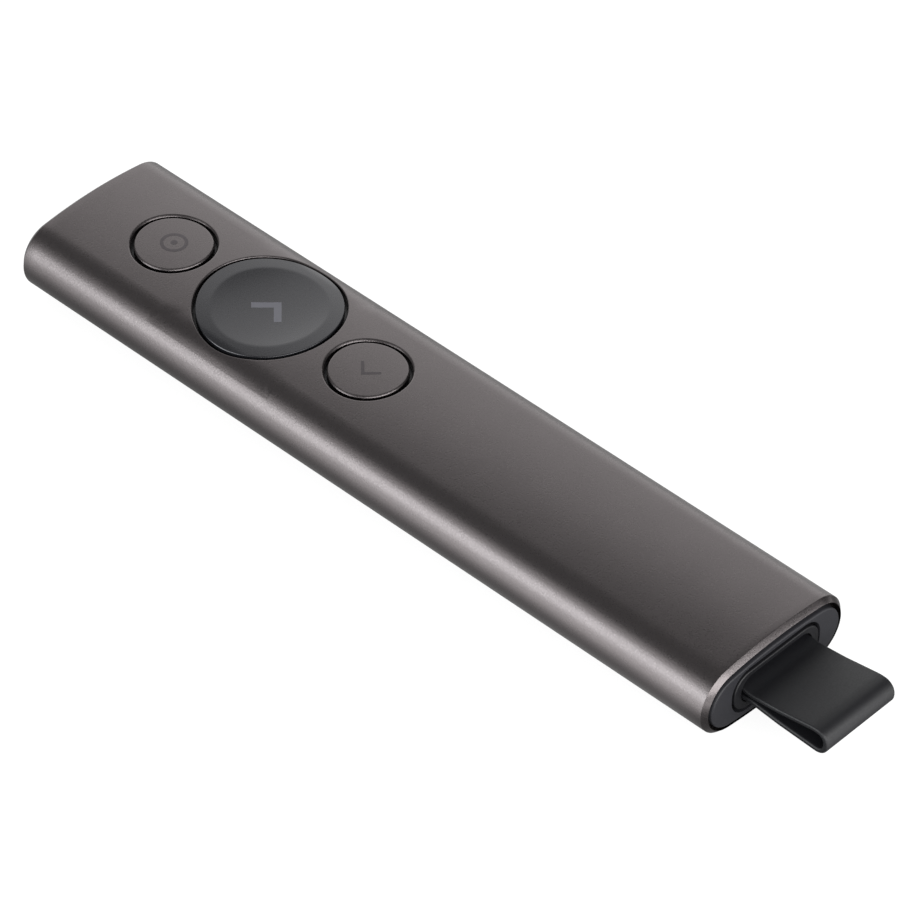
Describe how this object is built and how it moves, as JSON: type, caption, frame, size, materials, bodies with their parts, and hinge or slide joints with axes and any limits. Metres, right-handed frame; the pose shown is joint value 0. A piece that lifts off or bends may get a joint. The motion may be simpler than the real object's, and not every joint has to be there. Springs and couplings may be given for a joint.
{
  "type": "wireless presentation remote",
  "caption": "Slim crowned aluminium presentation remote with a dished round key between smaller round keys, and a plug-in receiver docked in one end by a folded strap.",
  "frame": {"origin": "middle of the overall box, on its underside", "axes": "+Y towards the front end that points at the screen, +Z the key side, +X to the right seen from the dock end"},
  "size_m": [0.028, 0.1464, 0.0121],
  "materials": {
    "anodised_aluminium": "bead-blasted, anodised warm slate grey",
    "key_plastic": "fine matte dark grey",
    "end_plastic": "satin dark grey",
    "frame_plastic": "moulded glass-filled black",
    "screw_steel": "plated",
    "circuit_board": "solder mask",
    "chip_package": "moulded epoxy",
    "ceramic": "fired ceramic",
    "sheet_metal": "drawn and plated",
    "dome_steel": "polished spring steel",
    "switch_plastic": "moulded black",
    "tungsten": "sintered",
    "battery_pouch": "laminated foil",
    "adhesive_tape": "translucent film",
    "foam": "open cell foam",
    "connector_plastic": "moulded nylon",
    "lead_jacket": "silicone jacket",
    "flex_film": "polyimide film",
    "tongue_plastic": "moulded black",
    "receiver_plastic": "satin dark grey",
    "contact_gold": "gold plated",
    "strap_silicone": "matte moulded silicone"
  },
  "bodies": {
    "remote": {"sleeve": "anodised_aluminium", "front_cap": "end_plastic", "dock_plate": "end_plastic", "front_bulkhead": "frame_plastic", "chassis": "frame_plastic", "receiver_dock": "frame_plastic", "battery_cover": "frame_plastic", "key_guide": "frame_plastic", "bulkhead_screws": "screw_steel", "dock_screws": "screw_steel", "board_screws": "screw_steel", "haptic_motor_shaft": "screw_steel", "main_board": "circuit_board", "charge_board": "circuit_board", "radio_chip": "chip_package", "motion_sensor": "chip_package", "power_chip": "chip_package", "charge_chip": "chip_package", "chip_antenna": "ceramic", "capacitors": "ceramic", "rf_shield": "sheet_metal", "crystal": "sheet_metal", "port_shell": "sheet_metal", "haptic_motor_case": "sheet_metal", "haptic_motor_base": "sheet_metal", "pointer_switch_dome": "dome_steel", "next_switch_dome": "dome_steel", "back_switch_dome": "dome_steel", "pointer_switch_body": "switch_plastic", "next_switch_body": "switch_plastic", "back_switch_body": "switch_plastic", "battery": "battery_pouch", "battery_tape": "adhesive_tape", "battery_foam": "foam", "battery_connector": "connector_plastic", "battery_leads": "lead_jacket", "flex_ribbon": "flex_film", "port_tongue": "tongue_plastic"},
    "pointer_key": {"pointer_key_cap": "anodised_aluminium", "pointer_key_base": "key_plastic", "pointer_switch_plunger": "switch_plastic"},
    "next_key": {"next_key_cap": "key_plastic", "next_key_base": "key_plastic", "next_switch_plunger": "switch_plastic"},
    "back_key": {"back_key_cap": "anodised_aluminium", "back_key_base": "key_plastic", "back_switch_plunger": "switch_plastic"},
    "haptic_rotor": {"haptic_motor_rotor": "tungsten"},
    "receiver": {"receiver_housing": "receiver_plastic", "receiver_insert": "receiver_plastic", "receiver_plug_shell": "sheet_metal", "receiver_plug_tongue": "tongue_plastic", "receiver_contacts": "contact_gold", "receiver_board": "circuit_board", "receiver_chip": "chip_package", "strap_pin": "screw_steel", "strap": "strap_silicone"}
  },
  "joints": [
    {"name": "pointer_press", "type": "slide", "parent": "remote", "child": "pointer_key", "axis": [0, 0, -1], "range_m": [0, 0.0004], "stiffness_N_per_m": 3000, "deforming": ["pointer_switch_dome"]},
    {"name": "next_press", "type": "slide", "parent": "remote", "child": "next_key", "axis": [0, 0, -1], "range_m": [0, 0.0004], "stiffness_N_per_m": 3000, "deforming": ["next_switch_dome"]},
    {"name": "back_press", "type": "slide", "parent": "remote", "child": "back_key", "axis": [0, 0, -1], "range_m": [0, 0.0004], "stiffness_N_per_m": 3000, "deforming": ["back_switch_dome"]},
    {"name": "haptic_spin", "type": "hinge", "parent": "remote", "child": "haptic_rotor", "pos_m": [0, 0.00687, 0.0041], "axis": [0, 0, 1], "continuous": true},
    {"name": "receiver_pull", "type": "slide", "parent": "remote", "child": "receiver", "axis": [0, -1, 0], "range_m": [0, 0.045]}
  ]
}
